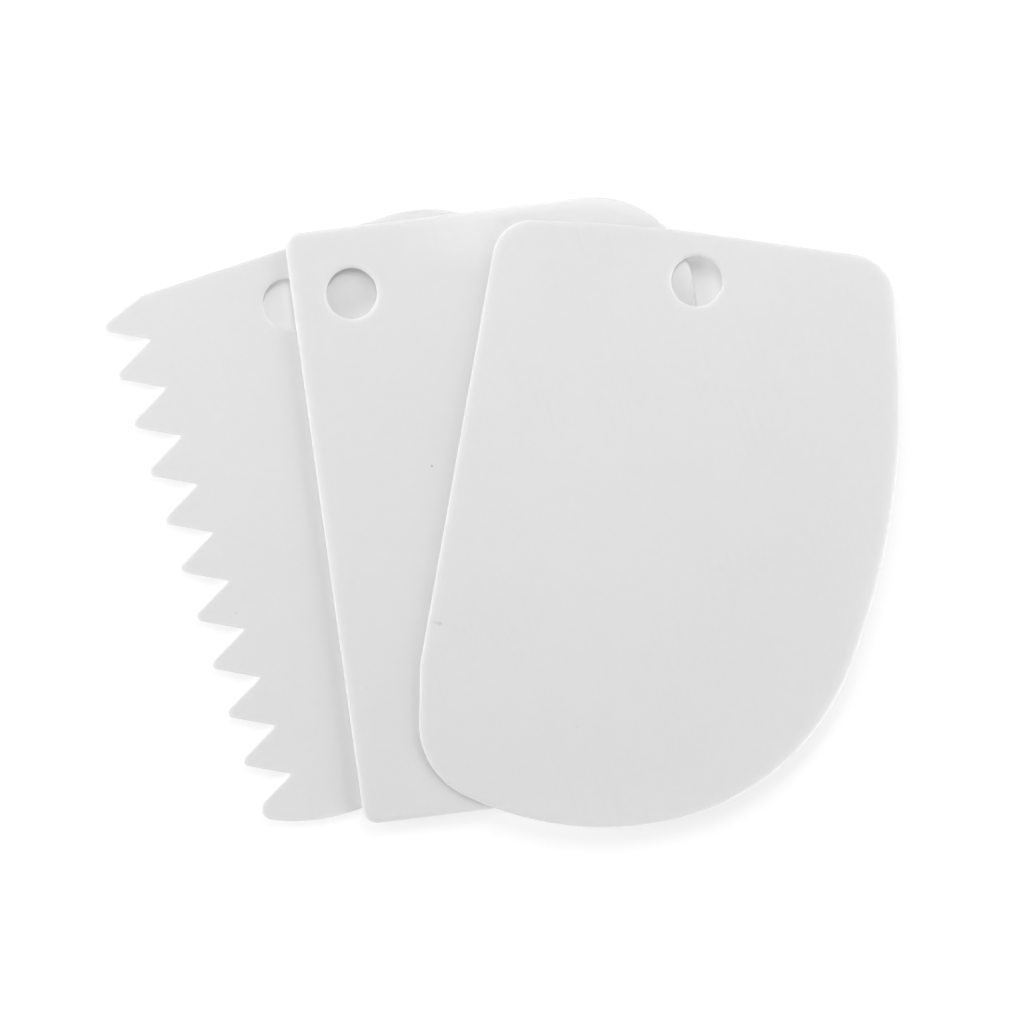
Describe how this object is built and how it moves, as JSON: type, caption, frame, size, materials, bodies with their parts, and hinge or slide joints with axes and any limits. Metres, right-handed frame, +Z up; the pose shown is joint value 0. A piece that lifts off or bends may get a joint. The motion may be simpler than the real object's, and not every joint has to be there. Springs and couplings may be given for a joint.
{
  "type": "icing smoother set",
  "caption": "Set of loose flat plastic scrapers for smoothing and combing icing, fanned out and lying on each other: toothed comb, straight edge and round bowl edge.",
  "frame": {"origin": "middle of the comb scraper's underside, which is the face the set rests on", "axes": "+Z up, away from the surface; +X across the comb scraper from its teeth to its back; +Y along the teeth, towards the comb scraper's top edge"},
  "size_m": [0.1505, 0.1329, 0.0047],
  "materials": {
    "comb_plastic": "satin moulded white plastic",
    "straight_plastic": "satin moulded white plastic",
    "bowl_plastic": "satin moulded white plastic"
  },
  "bodies": {
    "comb": {"comb_scraper": "comb_plastic"},
    "straight": {"straight_scraper": "straight_plastic"},
    "bowl": {"bowl_scraper": "bowl_plastic"}
  },
  "joints": [
    {"name": "straight_lift", "type": "slide", "parent": "comb", "child": "straight", "axis": [0, 0, 1], "range_m": [0, 0.06]},
    {"name": "bowl_lift", "type": "slide", "parent": "straight", "child": "bowl", "axis": [0, 0, 1], "range_m": [0, 0.06]}
  ]
}
